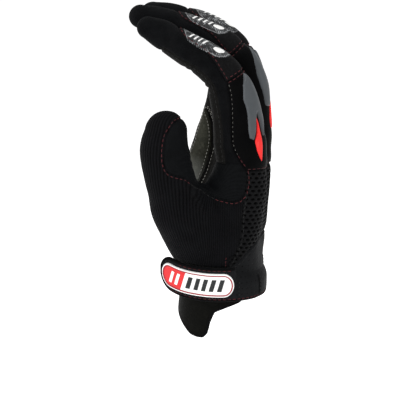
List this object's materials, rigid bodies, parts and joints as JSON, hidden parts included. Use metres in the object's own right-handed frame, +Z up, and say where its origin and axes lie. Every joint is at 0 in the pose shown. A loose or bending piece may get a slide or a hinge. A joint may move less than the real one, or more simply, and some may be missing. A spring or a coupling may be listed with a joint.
{
  "type": "protective glove",
  "caption": "Right-hand work glove, hollow and half closed as worn, with ribbed thumb side, mesh back, knuckle guards, palm pad and a wrist strap.",
  "frame": {"origin": "centre of the wrist opening, in the plane of the cuff's hem", "axes": "+Z up the hand to the fingers, +X to the back of the hand, -X to the palm, -Y to the thumb side, +Y to the little finger"},
  "size_m": [0.0866, 0.0955, 0.2001],
  "materials": {
    "finger_fabric": "stretch woven fabric, matt",
    "rib_knit": "fine ribbed stretch knit, matt",
    "palm_leather": "thin synthetic suede",
    "back_mesh": "open spacer mesh, matt",
    "knuckle_fabric": "smooth neoprene",
    "guard_grey": "moulded soft plastic, satin",
    "guard_red": "moulded soft plastic, satin",
    "pad_leather": "padded synthetic suede",
    "strap_fabric": "hook-and-loop strap with a smooth face",
    "patch_rubber": "moulded rubber patch, satin",
    "red_thread": "sewing thread",
    "grey_thread": "sewing thread"
  },
  "bodies": {
    "root": {"index_finger_stall": "finger_fabric", "middle_finger_stall": "finger_fabric", "ring_finger_stall": "finger_fabric", "little_finger_stall": "finger_fabric", "thumb_stall": "rib_knit", "thumb_side_panel": "rib_knit", "cuff": "rib_knit", "palm_panel": "palm_leather", "pull_tab": "palm_leather", "mesh_back_panel": "back_mesh", "knuckle_panel": "knuckle_fabric", "index_guard": "guard_grey", "middle_guard": "guard_grey", "ring_guard": "guard_grey", "little_guard": "guard_grey", "index_guard_flame": "guard_red", "middle_guard_flame": "guard_red", "ring_guard_flame": "guard_red", "little_guard_flame": "guard_red", "palm_pad": "pad_leather", "wrist_strap": "strap_fabric", "strap_label": "patch_rubber"}
  },
  "joints": []
}
